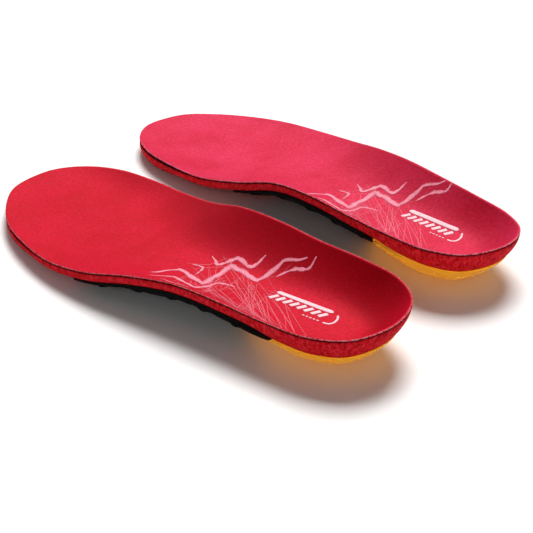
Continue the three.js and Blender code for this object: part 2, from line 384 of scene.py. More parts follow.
def makeCover(place):
    # two close rings round off the lower corner of the cut
    lower = [ring(0.02, below(0.0, coverDepth(0) - 0.1)), ring(0.1, below(0.1, coverDepth(0.1)))]
    lower += [ring(inset, below(inset, coverDepth(inset))) for inset in allInsets(0.5)]
    cover = loft(place["side"] + "_cloth_cover", place, coverTopRings(place["side"]) + lower)
    # painted shade: lean is how far each vertex faces the shaded direction, and the cloth colour darkens with
    # it
    lean = cover.data.attributes.new("lean", "FLOAT", "POINT")
    dark = Vector(cloth["paintedShadeFacing"]).normalized()
    lean.data.foreach_set("value", [max(0, v.normal.dot(dark)) for v in cover.data.vertices])
    return cover


def makeBacking(place):
    rows = [ease(layers["backingInset"], edgePart)] + allInsets(1.1)
    upper = [ring(inset, below(inset, backingTop(inset))) for inset in reversed(rows)]
    lower = [ring(inset, below(inset, backingTop(inset) + backingDepth)) for inset in rows]
    return loft(place["side"] + "_bonded_backing", place, upper + lower)


foamBed = {
    "wallRows": 14, "wallCurve": 1.7, "topGap": 0.05, "topInset": 0.3, "topRound": 0.15, "bulge": 0.35,
    "ripple": 0.16, "ripplePitch": ((0.16, 0.22), (0.55, 0.35)), "rippleShift": {"left": 0, "right": 37},
    "footRound": 0.7, "footDrop": 0.35, "footSoft": 0.12,
    "steps": [0, 0.12, 0.25, 0.4, 0.55, 0.7, 0.85, 1],
}


# small uneven swelling of cut foam, the same on every run but not on both insoles
def foamRipple(row, place):
    shift = foamBed["rippleShift"][place["side"]]
    (broad, broadUp), (fine, fineUp) = foamBed["ripplePitch"]
    return np.array([noise.noise(Vector((s * broad + shift, m * broad, z * broadUp)))
                     + 0.5 * noise.noise(Vector((s * fine, m * fine + shift, z * fineUp)))
                     for s, m, z in row])


def makeFoam(place):
    gap = layers["glue"] + backingDepth
    insets = [foamBed["topInset"] * np.ones(count)] + allInsets(0.5)
    upper = [ring(inset, below(inset, backingTop(inset) + gap)) for inset in reversed(insets)]
    topZ = below(0.0, backingTop(0) + gap) - foamBed["topGap"]
    wall = []
    for k in range(foamBed["wallRows"] + 1):
        t = k / foamBed["wallRows"]
        swell = math.sin(math.pi * t)
        inset = footInset * t ** foamBed["wallCurve"] + foamBed["topRound"] * max(0, 1 - t * 10) ** 2
        row = ring(inset - foamBed["bulge"] * swell * (footInset < 3), topZ + (footZ - topZ) * t)
        row[:, :2] += outward * (foamRipple(row, place) * foamBed["ripple"] * swell)[:, None]
        wall.append(row)
    wall[-1][:, 2] += foamBed["footSoft"]
    low = footZ - foamBed["footDrop"]
    lip = ring(footInset + foamBed["footRound"], low)
    near = ring((turnInset + footInset) / 2, (low + belly(0) + recess(0)) / 2)
    under = [ring(bellyInset(step), belly(step) + recess(step)) for step in foamBed["steps"]]
    return loft(place["side"] + "_foam_bed", place, upper + wall + [lip, near] + under)


padPlan = {
    "reach": 88, "inner": 64, "outer": 46, "half": 32, "bulge": 0.8, "cornerPull": 0.5, "cornerWide": 12,
    "lip": 1.3, "taperFrom": 16, "taperWide": 12, "taperLong": 26, "taperPower": 0.8, "featherEdge": 0.1,
    # it is drawn on spokes from this centre, each cut to length by halving
    "centre": (47.0, 0.6), "spokes": 160, "rows": 26, "shortest": 5.0, "longest": 60.0, "halvings": 26,
    "sideGap": 0.08, "rimFrom": 0.975, "rimThin": 0.35,
}
shellPlan = {
    "front": [(-46, 173), (-26, 160), (-4, 155), (18, 158), (38, 168), (46, 168)],
    "lip": [(0.16, 0.5), (0.27, 2.4), (0.5, 2.4), (0.62, 1.4)], "along": 132, "across": 72, "gap": 0.3,
    "thinnest": 0.7, "lowest": 0.2, "frontThin": (1.2, 0.4), "bevel": 0.22,
    "ribs": [73.5, 93.5, 113.5, 133.5, 153.5], "ribWidth": 3, "ribDepth": 0.8, "ribFade": (20, 12, 173),
    "notches": [87, 98, 107], "notchHalf": 2.6, "notchRise": 1.3, "notchFrom": 0.9, "notchShare": 0.6,
    "middle": 110, "half": 50, "passes": 6, "sideGap": 0.1,
}
# clearance under the foam: at its foot, on the lip, before the belly and along it
underGap = {"foot": 0.3, "lip": 0.45, "near": 0.05, "belly": 0.1, "inset": 0.05}


# the surfaces that the shell and the pad fill in between
def underTopRings():
    low = footZ - underGap["lip"]
    rows = [ring(footInset + underGap["inset"], footZ - underGap["foot"])]
    rows.append(ring(footInset + foamBed["footRound"], low))
    rows.append(ring((turnInset + footInset) / 2, (low + belly(0) + recess(0)) / 2 - underGap["near"]))
    return rows + [ring(bellyInset(step), belly(step) + recess(step) - underGap["belly"])
                   for step in foamBed["steps"]]


def underBottomRings(lip):
    low = footZ - lip
    rows = [ring(footInset + underGap["inset"], low)]
    rows.append(ring(footInset * 0.6 + turnInset * 0.4, low * 0.6 + belly(0) * 0.4))
    return rows + [ring(bellyInset(step), belly(step)) for step in foamBed["steps"]]


# where the pad ends and the shell begins
def padFront(m):
    half = padPlan["half"]
    part = np.clip((half - m) / (2 * half), 0, 1)
    side = padPlan["inner"] + (padPlan["outer"] - padPlan["inner"]) * part
    past = np.clip(np.abs(m) - half, 0, padPlan["cornerWide"])
    bulge = np.sin(np.pi * part) ** padPlan["bulge"]
    return side + (padPlan["reach"] - side) * bulge - padPlan["cornerPull"] * past


underTop = heightMap(underTopRings())
underBottomPad = heightMap(underBottomRings(padPlan["lip"]))
underBottomShell = heightMap(underBottomRings(ease(shellPlan["lip"], edgePart)))


# both pieces feather out on the sides where they meet
def sideTaper(away, m):
    wide = np.clip((np.abs(m) - padPlan["taperFrom"]) / padPlan["taperWide"], 0, 1)
    thick = np.clip(away / padPlan["taperLong"], 0, 1) ** padPlan["taperPower"]
    return 1 - wide * (1 - padPlan["featherEdge"]) * (1 - thick)


def makePad(place):
    centre = np.array(padPlan["centre"])
    foot = plan(footInset + padPlan["sideGap"])
    spokes = []
    for k in range(padPlan["spokes"]):
        angle = 2 * math.pi * k / padPlan["spokes"]
        out = np.array([math.cos(angle), math.sin(angle)])
        low, high = padPlan["shortest"], padPlan["longest"]
        for _ in range(padPlan["halvings"]):
            far = (low + high) / 2
            at = centre + out * far
            inside = insideLoop(foot, at) and at[0] < padFront(at[1])
            low, high = (far, high) if inside else (low, far)
        spokes.append((out, low))
    top, bottom = [], []
    rows = padPlan["rows"]
    for k in range(rows + 1):
        part = 1 - (1 - k / rows) ** 1.5
        at = np.array([centre + out * far * part for out, far in spokes])
        thin = max(0, (part - padPlan["rimFrom"]) / (1 - padPlan["rimFrom"]))
        high = np.array([heightAt(underTop, *p, 15) for p in at])
        low = np.array([heightAt(underBottomPad, *p, 12) for p in at])
        low = low + (high - low) * padPlan["rimThin"] * thin
        low = high - (high - low) * sideTaper(padFront(at[:, 1]) - at[:, 0], at[:, 1])
        top.append(np.column_stack([at, high]))
        bottom.append(np.column_stack([at, low]))
    return spokeMesh(place["side"] + "_gel_heel_pad", place, top + bottom[::-1])


def insideLoop(loop, point):
    a, b = loop, np.roll(loop, -1, axis=0)
    crosses = (a[:, 1] > point[1]) != (b[:, 1] > point[1])
    rise = np.where(b[:, 1] == a[:, 1], 1e-9, b[:, 1] - a[:, 1])
    x = a[:, 0] + (point[1] - a[:, 1]) * (b[:, 0] - a[:, 0]) / rise
    return bool(np.count_nonzero(crosses & (point[0] < x)) % 2)


def spokeMesh(name, place, rings):
    verts, faces = np.concatenate(rings), ringFaces(len(rings[0]), len(rings))
    mesh = bpy.data.meshes.new(name)
    mesh.from_pydata(toWorld(place, verts).tolist(), [], faces.tolist())
    addPattern(mesh, "plan", verts[faces.ravel(), :2] * mm)
    return finishMesh(name, mesh)


# how far the ribs stand out at each s, with sides that slope over a short run
def ribRise(s, slope=0.7):
    away = np.min([np.abs(s - at) for at in shellPlan["ribs"]], axis=0)
    return np.clip(((shellPlan["ribWidth"] + slope) / 2 - away) / slope, 0, 1) * shellPlan["ribDepth"]


# spreads a flat grid (-1 to 1 each way) from the pad's front to the shell's front and out to both sides
def spreadShell(grid):
    part, side = (grid[:, 0] + 1) / 2, grid[:, 1]
    s = shellPlan["middle"] + shellPlan["half"] * grid[:, 0]
    frontM, frontS = zip(*shellPlan["front"])
    for _ in range(shellPlan["passes"]):
        inner, outer = (sideLine(sign, s, footInset + shellPlan["sideGap"]) for sign in (1, -1))
        spineM = np.interp(s, spine[: count // 2, 0], spine[: count // 2, 1])
        m = np.where(side > 0, side * inner, -side * outer) + spineM * (1 - np.abs(side))
        rear = padFront(m) + shellPlan["gap"]
        front = np.interp(m, frontM, frontS)
        s = rear + (front - rear) * part
    return s, m, rear, front


# the top and the underside of the shell, with its taper, ribs and notches
def shellHeights(s, m, rear, front, side):
    top = np.array([heightAt(underTop, *at, 18) for at in zip(s, m)])
    low = np.array([heightAt(underBottomShell, *at, 14) for at in zip(s, m)])
    low = np.minimum(low, top - shellPlan["thinnest"])
    low = top - (top - low) * sideTaper(s - rear, m)
    rearFade, frontFade, ribEnd = shellPlan["ribFade"]
    low -= ribRise(s) * np.clip((s - rear) / rearFade, 0, 1) * np.clip((ribEnd - s) / frontFade, 0, 1)
    atEdge = np.clip((-side - shellPlan["notchFrom"]) / 0.05, 0, 1)
    for at in shellPlan["notches"]:
        arch = np.clip(1 - ((s - at) / shellPlan["notchHalf"]) ** 2, 0, 1) ** 0.5
        low += arch * atEdge * np.minimum(shellPlan["notchRise"], (top - low) * shellPlan["notchShare"])
    low = np.maximum(low, shellPlan["lowest"])
    thinRun, thinShare = shellPlan["frontThin"]
    return top, low + (top - low) * thinShare * np.clip(1 - (front - s) / thinRun, 0, 1)


# The shell starts as a flat grid, is bent to the foam's underside, then thickened down to its ribs
def makeShell(place):
    bpy.ops.object.select_all(action="DESELECT")
    bpy.ops.mesh.primitive_grid_add(
        x_subdivisions=shellPlan["along"], y_subdivisions=shellPlan["across"], size=2)
    shell = bpy.context.object
    shell.name = place["side"] + "_arch_support"
    grid = np.array([v.co[:2] for v in shell.data.vertices])
    s, m, rear, front = spreadShell(grid)
    top, low = shellHeights(s, m, rear, front, grid[:, 1])
    bpy.ops.object.mode_set(mode="EDIT")
    bpy.ops.mesh.select_all(action="SELECT")
    bpy.ops.mesh.extrude_region_move()
    bpy.ops.object.mode_set(mode="OBJECT")
    spots = np.concatenate([toWorld(place, np.column_stack([s, m, z])) for z in (top, low)])
    for v, spot in zip(shell.data.vertices, spots):
        v.co = spot
    bpy.ops.object.select_all(action="DESELECT")
    shell.select_set(True)
    bpy.context.view_layer.objects.active = shell
    bpy.ops.object.mode_set(mode="EDIT")
    bpy.ops.mesh.select_all(action="SELECT")
    bpy.ops.mesh.normals_make_consistent(inside=False)
    bpy.ops.object.mode_set(mode="OBJECT")
    soften = shell.modifiers.new("edges", "BEVEL")
    soften.width, soften.segments = shellPlan["bevel"] * mm, 2
    soften.limit_method, soften.angle_limit = "ANGLE", math.radians(50)
    bpy.ops.object.modifier_apply(modifier=soften.name)
    bpy.ops.object.shade_smooth_by_angle(angle=math.radians(40))
    return shell


# one socket, so that a pattern is written as sums and products
class Wire:
    def __init__(self, finish, socket):
        self.finish, self.socket = finish, socket

    def maths(self, kind, *values):
        return self.finish.node("ShaderNodeMath", {"operation": kind}, dict(enumerate(values)))

    def __add__(self, other):
        return self.maths("ADD", self, other)

    def __sub__(self, other):
        return self.maths("SUBTRACT", self, other)

    def __rsub__(self, other):
        return self.maths("SUBTRACT", other, self)

    def __mul__(self, other):
        return self.maths("MULTIPLY", self, other)

    __radd__, __rmul__ = __add__, __mul__

    def above(self, low, high):
        return self.finish.node("ShaderNodeMapRange", {"interpolation_type": "SMOOTHSTEP", "clamp": True},
                                {"Value": self, "From Min": low, "From Max": high})


class Finish:
    def __init__(self, name, fixed):
        self.material = bpy.data.materials.new(name)
        self.material.use_nodes = True
        self.tree = self.material.node_tree
        self.shader = self.tree.nodes["Principled BSDF"]
        for key, value in fixed.items():
            self.shader.inputs[key].default_value = value

    def node(self, kind, settings, inputs, output=0):
        made = self.tree.nodes.new(kind)
        for key, value in settings.items():
            setattr(made, key, value)
        for key, value in inputs.items():
            if isinstance(value, Wire):
                self.tree.links.new(value.socket, made.inputs[key])
            else:
                made.inputs[key].default_value = value
        return Wire(self, made.outputs[output])

    def place(self):
        return self.node("ShaderNodeTexCoord", {}, {}, "Object")

    def pattern(self, uv):
        return self.node("ShaderNodeUVMap", {"uv_map": uv}, {})

    def scaled(self, place, scale, turn=0):
        return self.node("ShaderNodeMapping", {}, {"Vector": place, "Scale": scale, "Rotation": (0, 0, turn)})

    def noise(self, place, size, detail=3, rough=0.55):
        inputs = {"Vector": place, "Scale": 1 / (size * mm), "Detail": detail, "Roughness": rough}
        return self.node("ShaderNodeTexNoise", {}, inputs)

    def cells(self, place, size):
        return self.node("ShaderNodeTexVoronoi", {}, {"Vector": place, "Scale": 1 / (size * mm)}, "Distance")

    def part(self, vector, axis):
        return self.node("ShaderNodeSeparateXYZ", {}, {0: vector}, axis)

    def mix(self, factor, a, b):
        return self.node("ShaderNodeMix", {"data_type": "RGBA"}, {"Factor": factor, 6: a, 7: b}, 2)

    def bump(self, height, depth, strength):
        inputs = {"Height": height, "Distance": depth * mm, "Strength": strength}
        return self.node("ShaderNodeBump", {}, inputs)

    def feed(self, **links):
        names = {"colour": "Base Color", "roughness": "Roughness", "normal": "Normal", "alpha": "Alpha"}
        for key, wire in links.items():
            self.tree.links.new(wire.socket, self.shader.inputs[names[key]])
        return self.material


# the two cloths' colours: the right one is painted paler and pinker, standing in for the brighter light and
# sheen on that insole; shade is how much painted shade darkens the walls that face one way
clothLooks = {
    "left": {"name": "brushed red cloth", "deep": (0.56, 0.0004, 0.011, 1), "raised": (0.64, 0.0012, 0.02, 1),
             "pale": (0.72, 0.008, 0.045, 1), "gloss": (1, 0, 0.08, 1), "shade": 0.64},
    "right": {"name": "brushed red cloth painted paler", "deep": (0.64, 0.009, 0.042, 1),
              "raised": (0.74, 0.023, 0.08, 1), "pale": (0.81, 0.042, 0.125, 1),
              "gloss": (1, 0.08, 0.25, 1), "shade": 0.36},
}
clothTints = {
    "pile": (0.23, 0.0003, 0.003, 1), "fluff": (0.75, 0.04, 0.08, 1),
    # this line: the pale fray colour, partly a painted highlight, and the deep red of the painted shade
    "frayHighlight": (0.97, 0.5, 0.56, 1), "paintedShade": (0.2, 0.0002, 0.0008, 1),
}


# a napped cloth: broad tone, worn patches, dark pile, pale fluff, a pale frayed edge that also carries a
# painted highlight, and painted shade on walls that face one way
def brushedCloth(name, deep, raised, pale, gloss, shade):
    made = Finish(name, {"Sheen Weight": 0.5, "Sheen Roughness": 0.4, "Specular IOR Level": 0.28,
                         "Sheen Tint": gloss, "Specular Tint": gloss})
    place, lay = made.place(), made.pattern("plan")
    broad = made.noise(place, 30, 2)
    patch = made.noise(place, 9, 3)
    nap = made.noise(made.scaled(lay, (1, 1.4, 1), 0.5), 2.2, 5, 0.85)
    fuzz = made.noise(place, 0.8, 3, 0.7)
    rim = made.part(made.pattern("rim"), "X") * (1 / mm)
    # pale frayed fibres along the cut edge, partly a painted highlight where the rim catches light
    cut = (1 - rim.above(0.2, 0.6)) * made.noise(place, 1.8, 3).above(0.36, 0.6)
    tone = made.mix(broad.above(0.3, 0.7), deep, raised)
    worn = made.mix(patch.above(0.42, 0.72) * 0.2, tone, pale)
    napped = made.mix(nap.above(0.42, 0.6) * 0.42, worn, clothTints["pile"])
    fluff = made.mix(fuzz.above(0.55, 0.7) * 0.32, napped, clothTints["fluff"])
    frayedAndHighlit = made.mix(cut * 0.4, fluff, clothTints["frayHighlight"])
    # painted shade: walls facing one way are darkened toward deep red
    lean = made.node("ShaderNodeAttribute", {"attribute_name": "lean"}, {}, "Fac")
    withPaintedShade = made.mix(lean.above(0.08, 0.5) * shade, frayedAndHighlit, clothTints["paintedShade"])
    height = nap * 0.75 + fuzz * 0.35
    return made.feed(colour=withPaintedShade, roughness=0.48 + 0.2 * nap, normal=made.bump(height, 0.3, 0.7))


def darkBacking():
    made = Finish("dark bonded backing", {"Specular IOR Level": 0.02})
    wrap = made.pattern("wrap")
    fibre = made.noise(made.scaled(wrap, (1, 3, 1)), 0.4, 3)
    glint = made.noise(wrap, 1.3, 2)
    dark = made.mix(fibre.above(0.45, 0.7), (0.002, 0.0005, 0.001, 1), (0.012, 0.001, 0.002, 1))
    lit = made.mix(glint.above(0.62, 0.78) * 0.3, dark, (0.1, 0.01, 0.02, 1))
    return made.feed(colour=lit, roughness=0.55 + 0.3 * fibre, normal=made.bump(fibre, 0.12, 0.6))


def cutFoam():
    made = Finish("cut red foam", {"Specular IOR Level": 0.04})
    wrap, place = made.pattern("wrap"), made.place()
    streak = made.noise(made.scaled(wrap, (1, 0.35, 1)), 1.6, 4, 0.6)
    blotch = made.noise(place, 2.6, 3, 0.6)
    tornAndLit = made.noise(made.scaled(wrap, (1, 0.6, 1)), 1.1, 3, 0.6)
    pores = made.cells(place, 0.42)
    base = made.mix(streak.above(0.38, 0.62), (0.44, 0.002, 0.005, 1), (0.78, 0.01, 0.02, 1))
    mottled = made.mix(blotch.above(0.48, 0.66) * 0.55, base, (0.9, 0.035, 0.06, 1))
    # painted highlight: paler pink spots on the foam, partly torn foam; the same noise also drives the bump
    lit = made.mix(tornAndLit.above(0.56, 0.7) * 0.4, mottled, (0.95, 0.1, 0.13, 1))
    pitted = made.mix((1 - pores.above(0.12, 0.4)) * 0.35, lit, (0.26, 0.001, 0.003, 1))
    height = pores.above(0.1, 0.5) * 0.6 + streak * 0.8 + tornAndLit * 0.4
    return made.feed(colour=pitted, roughness=0.6 + 0.28 * streak, normal=made.bump(height, 0.26, 0.75))


def satinShell():
    made = Finish("black satin plastic", {"Specular IOR Level": 0.04})
    place = made.place()
    grain = made.noise(place, 0.7, 4, 0.6)
    rub = made.noise(place, 9, 3)
    black = made.mix(rub.above(0.45, 0.75) * 0.5, (0.001, 0.0008, 0.001, 1), (0.004, 0.003, 0.0035, 1))
    dull = 0.34 + 0.22 * rub + 0.08 * grain
    return made.feed(colour=black, roughness=dull, normal=made.bump(grain, 0.05, 0.5))


def amberGel():
    # the weak glow stands in for light that passes through the pad
    made = Finish("amber gel", {"Transmission Weight": 0.5, "IOR": 1.42, "Specular IOR Level": 0.4,
                                "Subsurface Weight": 0.5, "Subsurface Scale": 0.012,
                                "Subsurface Radius": (1, 0.5, 0.06),
                                "Emission Strength": 0.15, "Emission Color": (1.0, 0.54, 0.03, 1)})
    place = made.place()
    cloud = made.noise(place, 11, 3)
    ripple = made.noise(place, 2.4, 3)
    speck = made.cells(place, 1.4)
    amber = made.mix(cloud.above(0.35, 0.7), (0.9, 0.42, 0.006, 1), (0.95, 0.52, 0.012, 1))
    cloudy = made.mix((1 - speck.above(0.05, 0.3)) * 0.2, amber, (1.0, 0.72, 0.16, 1))
    return made.feed(colour=cloudy, roughness=0.16 + 0.16 * ripple, normal=made.bump(ripple, 0.06, 0.4))


# ink with a dry, broken edge: the more cover, the fewer gaps
def printInk(name, colour, pale, cover, edgeFade):
    made = Finish(name, {"Specular IOR Level": 0.2, "Sheen Weight": 0.3, "Roughness": 0.8})
    place, along = made.place(), made.pattern("stroke")
    nap = made.noise(place, 0.5, 3, 0.7)
    dry = made.noise(made.scaled(along, (0.12, 1, 1)), 0.9, 4, 0.65)
    across = made.part(along, "Y") * (2 / mm) - 1
    middle = 1 - across.maths("ABSOLUTE", across)
    body = dry + nap * 0.35 + middle * edgeFade
    tint = made.mix(nap.above(0.4, 0.7), colour, pale)
    return made.feed(colour=tint, alpha=body.above(0.9 - cover, 1.35 - cover), roughness=0.7 + 0.2 * nap)


def edgeFibre():
    made = Finish("cut cloth fibres", {"Specular IOR Level": 0.2, "Sheen Weight": 0.4})
    place = made.place()
    shade = made.noise(place, 1.1, 2)
    tone = made.mix(shade.above(0.38, 0.62), (0.7, 0.1, 0.14, 1), (1.0, 0.72, 0.74, 1))
    return made.feed(colour=tone, roughness=0.6 + 0.3 * shade)


def paleFloor():
    made = Finish("pale studio floor", {"Specular IOR Level": 0.2})
    place = made.place()
    tone = made.noise(place, 160, 2)
    white = made.mix(tone, (0.9, 0.9, 0.89, 1), (0.93, 0.93, 0.92, 1))
    return made.feed(colour=white, roughness=0.22 + 0.1 * tone)


finishes = {
    "leftCloth": brushedCloth(**clothLooks["left"]), "rightCloth": brushedCloth(**clothLooks["right"]),
    "backing": darkBacking(), "foam": cutFoam(), "shell": satinShell(), "gel": amberGel(),
    "brush": printInk("pale pink ink", (0.83, 0.2, 0.3, 1), (0.95, 0.42, 0.5, 1), 0.42, 0.3),
    "scratch": printInk("thin pink ink", (0.86, 0.14, 0.2, 1), (0.93, 0.28, 0.36, 1), 0.36, 0.35),
    "badge": printInk("white ink", (0.86, 0.5, 0.56, 1), (0.97, 0.86, 0.88, 1), 0.75, 0.3),
    "fibre": edgeFibre(),
}
print("finishes made:", len(finishes))

# The print: abstract brush waves, fine scratches and a plain striped badge, all in (s, toward +Y) mm
printing = {
    "margin": 1.0, "sway": 0.9, "swayPitch": 0.16, "across": 5, "every": 0.8,
    # strips that cross lie at slightly different heights
    "lift": 0.07, "layerLift": 0.004, "layers": 9, "thick": 0.03,
    # corner points of each stroke and its half width
    "strokes": [
        ([(140, -27), (134, -12), (113, -16), (115, 8), (95, 6), (92, 23), (80, 29)], 1.9),
        ([(136, -32), (128, -22), (109, -25), (108, -9), (99, -6)], 1.2),
        ([(130, 9), (122, 4), (117, 14), (105, 12), (103, 22)], 1.4),
        ([(89, 14), (84, 22), (76, 24), (76, 31)], 1.0),
        ([(128, -31), (117, -33), (108, -29)], 0.8),
        ([(132, -4), (125, -2), (123, -10)], 0.8),
    ],
    "shift": {"left": (0, 0), "right": (-6, 8)},
    "scratches": {"long": 50, "short": 20, "from": (80, 130, -22, 12), "half": (0.09, 0.2)},
    "badge": {
        "bars": (46, 74), "number": 8, "barRows": (1.2, 7.2), "barHalf": 1.15, "slant": -0.45, "every": 0.7,
        "lines": [([(43, 10.6), (58, 10.6), (75, 10.6)], 1.35),
                  ([(40, 9.5), (38, 4), (39, -2.6), (43, -3.4)], 0.55)],
        "dots": 5, "dotStart": (45, -3.2), "dotPitch": 2.0, "dotHalf": 0.42,
        # where it is drawn, how large and at what turn, against how it is laid out above
        "middle": (57, 4.2), "scale": (1.06, 0.76),
        "laid": {"left": (60.5, 3.6, -8.6), "right": (61, 11.5, -5)},
    },
}


def strokeWidth(part, wide, seed):
    taper = np.sin(np.pi * np.clip(part * 0.96 + 0.02, 0, 1)) ** 0.55
    wobble = np.array([0.95 + 0.7 * noise.noise(Vector((t * 14, seed, 0))) for t in part])
    return wide * taper * wobble


# points drawn close on both sides of each corner, so that the stroke turns sharply
def softCorners(points):
    made = [points[0]]
    for before, corner, after in zip(points, points[1:], points[2:]):
        for leg in (before - corner, after - corner):
            made.append(corner + leg * min(0.3, 1.6 / np.linalg.norm(leg)))
    return np.array(made + [points[-1]])


# A flat strip laid along a centre line, with its own length and width as its pattern
class Ink:
    def __init__(self, place, surface):
        self.place, self.surface = place, surface
        self.verts, self.faces, self.uvs, self.layer = [], [], [], 0

    def strip(self, line, half):
        across = printing["across"]
        line, half = np.array(line, float), np.asarray(half, float)
        sign, margin = self.place["printSign"], half + printing["margin"]
        low, high = sorted([sign * sideLine(way, line[:, 0], 0) for way in (1, -1)], key=lambda side: side[0])
        line[:, 1] = np.clip(line[:, 1], low + margin, high - margin)
        along = np.gradient(line, axis=0)
        side = np.column_stack([-along[:, 1], along[:, 0]]) / np.linalg.norm(along, axis=1)[:, None]
        run = np.concatenate([[0], np.cumsum(np.linalg.norm(np.diff(line, axis=0), axis=1))])
        self.layer += 1
        lift = printing["lift"] + printing["layerLift"] * (self.layer % printing["layers"])
        start = len(self.verts)
        for k in range(len(line)):
            for c in range(across):
                part = c / (across - 1)
                s, y = line[k] + side[k] * half[k] * (2 * part - 1)
                self.verts.append((s, y * sign, heightAt(self.surface, s, y * sign, 12) + lift))
                self.uvs.append((run[k] * mm + 0.01 * self.layer, part * mm))
        for k in range(len(line) - 1):
            for c in range(across - 1):
                a = start + k * across + c
                self.faces.append((a, a + 1, a + across + 1, a + across))

    def finish(self, name, material):
        mesh = bpy.data.meshes.new(name)
        mesh.from_pydata(toWorld(self.place, self.verts).tolist(), [], self.faces)
        addPattern(mesh, "stroke", np.array(self.uvs)[np.array(self.faces).ravel()])
        piece = finishMesh(name, mesh, weld=1e-9)
        if sum(p.normal.z for p in mesh.polygons) <= 0:
            mesh.flip_normals()
        thick = piece.modifiers.new("thickness", "SOLIDIFY")
        thick.thickness, thick.offset = printing["thick"] * mm, 1
        bpy.ops.object.select_all(action="DESELECT")
        bpy.context.view_layer.objects.active = piece
        bpy.ops.object.modifier_apply(modifier=thick.name)
        piece.data.materials.append(material)
        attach(piece, self.place["side"] + "_insole")
        return piece


def makePrint(place, surface):
    side = place["side"]
    shift = np.array(printing["shift"][side])
    brush = Ink(place, surface)
    for seed, (points, wide) in enumerate(printing["strokes"]):
        line = openCurve(softCorners(np.array(points, float) + shift), printing["every"])
        part = np.linspace(0, 1, len(line))
        run = np.arange(len(line)) * printing["every"] * printing["swayPitch"]
        for axis, row in ((1, 2), (0, 9)):
            line[:, axis] += [printing["sway"] * noise.noise(Vector((r, seed * 5.3, row))) for r in run]
        brush.strip(line, strokeWidth(part, wide, seed * 3.1))
    draw = random.Random(11)
    scratch = Ink(place, surface)
    rule = printing["scratches"]
    sLow, sHigh, yLow, yHigh = rule["from"]
    for number in range(rule["long"] + rule["short"]):
        start = np.array([draw.uniform(sLow, sHigh), draw.uniform(yLow, yHigh)]) + shift
        if number < rule["long"]:
            end = np.array([start[0] - draw.uniform(-6, 104) * draw.uniform(0.5, 1), draw.uniform(-37, -25)])
        else:
            end = start + np.array([draw.uniform(-16, 16), draw.uniform(-20, 14)])
        end[0] = max(end[0], 20)
        across = np.array([start[1] - end[1], end[0] - start[0]]) / np.linalg.norm(end - start)
        bow = (start + end) / 2 + across * draw.uniform(-4, 4)
        line = openCurve([start, bow, end], printing["every"] * 1.3)
        part = np.linspace(0, 1, len(line))
        scratch.strip(line, draw.uniform(*rule["half"]) * (0.4 + 0.6 * np.sin(np.pi * part)))
    return [brush.finish(side + "_print_strokes", finishes["brush"]),
            scratch.finish(side + "_print_scratches", finishes["scratch"]),
            makeBadge(place, surface)]


# a plain striped badge: slanted bars under a rounded bar, a corner line and a row of dots
def makeBadge(place, surface):
    plate = printing["badge"]
    badge = Ink(place, surface)
    atS, atY, turn = plate["laid"][place["side"]]
    turn = math.radians(turn)
    spin = np.array([[math.cos(turn), -math.sin(turn)], [math.sin(turn), math.cos(turn)]])

    def lay(points):
        return ((np.array(points, float) - plate["middle"]) * plate["scale"]) @ spin.T + (atS, atY)

    start, end = plate["bars"]
    low, high = plate["barRows"]
    for k in range(plate["number"]):
        at = start + (end - start) * k / (plate["number"] - 1)
        lean = plate["slant"] * (high - low)
        bar = lay([(at - lean / 2, low), (at, (low + high) / 2), (at + lean / 2, high)])
        line = openCurve(bar, plate["every"])
        badge.strip(line, np.full(len(line), plate["barHalf"]))
    for points, half in plate["lines"]:
        line = openCurve(softCorners(lay(points)), plate["every"])
        ends = np.minimum(np.arange(len(line)), np.arange(len(line))[::-1]) * plate["every"]
        badge.strip(line, half * np.sqrt(np.clip(ends / half, 0.05, 1)))
    for k in range(plate["dots"]):
        s, y = plate["dotStart"][0] + k * plate["dotPitch"], plate["dotStart"][1]
        line = openCurve(lay([(s, y), (s + 0.6, y), (s + 1.2, y)]), 0.6)
        badge.strip(line, np.full(len(line), plate["dotHalf"]))
    return badge.finish(place["side"] + "_print_badge", finishes["badge"])


fringe = {
    "number": 2300, "long": (0.3, 1.1), "thick": 0.06, "bendThick": 0.8, "sides": 3,
    "seed": {"left": 5, "right": 6},
}


# loose fibre ends standing out of the cut edge of the cloth
def makeFringe(place):
    draw = random.Random(fringe["seed"][place["side"]])
    rim = np.column_stack([edge[:, :2], coverTop(0.0)])
    verts, faces, sides = [], [], fringe["sides"]
    for _ in range(fringe["number"]):
        k = draw.randrange(count)
        slide = draw.random()
        at = rim[k] * (1 - slide) + rim[(k + 1) % count] * slide
        out = outward[k]
        at[:2] -= out * draw.uniform(0.0, 0.35)
        at[2] -= draw.uniform(-0.06, 0.2) if draw.random() < 0.7 else draw.uniform(0.1, 0.5)
        along = np.array([-out[1], out[0]])
        level = out * draw.uniform(-0.3, 0.5) + along * draw.choice([-1, 1])
        lean = np.append(level, draw.uniform(-0.25, 0.3))
        tip = at + lean / np.linalg.norm(lean) * draw.uniform(*fringe["long"])
        bend = (at + tip) / 2 + np.append(along * draw.uniform(-0.12, 0.12), draw.uniform(-0.02, 0.12))
        first = len(verts)
        for spot, fat in ((at, 1), (bend, fringe["bendThick"])):
            for c in range(sides):
                angle = 2 * math.pi * c / sides
                around = np.append(math.cos(angle) * along, math.sin(angle))
                verts.append(spot + fringe["thick"] * fat * around)
        verts.append(tip)
        root, top = range(first, first + sides), first + 2 * sides
        for a, b in zip(root, [*root[1:], first]):
            faces += [(a, b, b + sides, a + sides), (a + sides, b + sides, top)]
        faces.append(tuple(root[:1]) + tuple(root[:0:-1]))
    mesh = bpy.data.meshes.new(place["side"] + "_edge_fibres")
    mesh.from_pydata(toWorld(place, verts).tolist(), [], faces)
    return finishMesh(place["side"] + "_edge_fibres", mesh, weld=1e-9)


bendZone = {"behind": 14, "ahead": 22}


def blendForefoot(piece, place):
    low, high = place["flex"] - bendZone["behind"], place["flex"] + bendZone["ahead"]
    start, end = toWorld(place, [(low, 0, 0), (high, 0, 0)])
    side = place["side"]
    side + "_insole"
    side + "_forefoot"
    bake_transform(piece)


